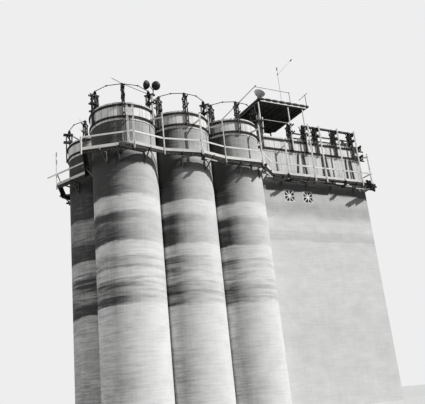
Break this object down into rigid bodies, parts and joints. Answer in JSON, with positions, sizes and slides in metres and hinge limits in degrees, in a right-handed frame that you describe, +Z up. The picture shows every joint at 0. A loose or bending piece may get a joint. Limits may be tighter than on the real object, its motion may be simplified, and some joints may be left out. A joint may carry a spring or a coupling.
{
  "type": "slipformed concrete silo group under construction",
  "caption": "Concrete silo group under construction: round cells in two rows and a rectangular block, with climbing forms, yokes, hanging walkway and a shelter.",
  "frame": {"origin": "on the ground under the wall that links the two middle silos, at the underside of the base slab", "axes": "+X along the rows from the silos towards the rectangular block, +Y away from the viewer, +Z up"},
  "size_m": [30.6018, 14.183, 34.523],
  "materials": {
    "concrete": "bare cast concrete, formed in lifts",
    "old_timber": "weathered sawn timber, wet and stained",
    "new_timber": "fresh sawn timber",
    "form_staves": "upright tongued boards, grey with cement",
    "dark_steel": "dark painted and oiled steel",
    "pale_steel": "pale enamelled sheet"
  },
  "bodies": {
    "root": {"base_slab": "concrete", "block_back_wall": "concrete", "block_front_wall": "concrete", "block_left_wall": "concrete", "block_right_wall": "concrete", "deck_back_left": "old_timber", "deck_back_middle": "old_timber", "deck_back_right": "old_timber", "deck_between_left": "old_timber", "deck_between_middle": "old_timber", "deck_between_right": "old_timber", "deck_block": "old_timber", "deck_front_left": "old_timber", "deck_front_middle": "old_timber", "deck_front_right": "old_timber", "floodlight_pair": "dark_steel", "floodlight_single": "pale_steel", "forked_mast": "dark_steel", "guard_rail_back": "new_timber", "guard_rail_front": "new_timber", "guard_rail_right": "new_timber", "link_wall_left": "concrete", "link_wall_middle": "concrete", "link_wall_right": "concrete", "opening_bracing_left": "new_timber", "opening_bracing_right": "new_timber", "outer_form_block": "form_staves", "outer_form_silos": "form_staves", "roof_rail": "dark_steel", "shelter_frame": "new_timber", "shelter_roof": "old_timber", "silo_back_left": "concrete", "silo_back_middle": "concrete", "silo_back_right": "concrete", "silo_front_left": "concrete", "silo_front_middle": "concrete", "silo_front_right": "concrete", "walkway_back": "old_timber", "walkway_front": "old_timber", "walkway_right": "old_timber", "yoke_frame_back_left": "dark_steel", "yoke_frame_back_middle": "dark_steel", "yoke_frame_back_right": "dark_steel", "yoke_frame_block_back": "dark_steel", "yoke_frame_block_front": "dark_steel", "yoke_frame_block_right": "dark_steel", "yoke_frame_front_left": "dark_steel", "yoke_frame_front_middle": "dark_steel", "yoke_frame_front_right": "dark_steel"}
  },
  "joints": []
}
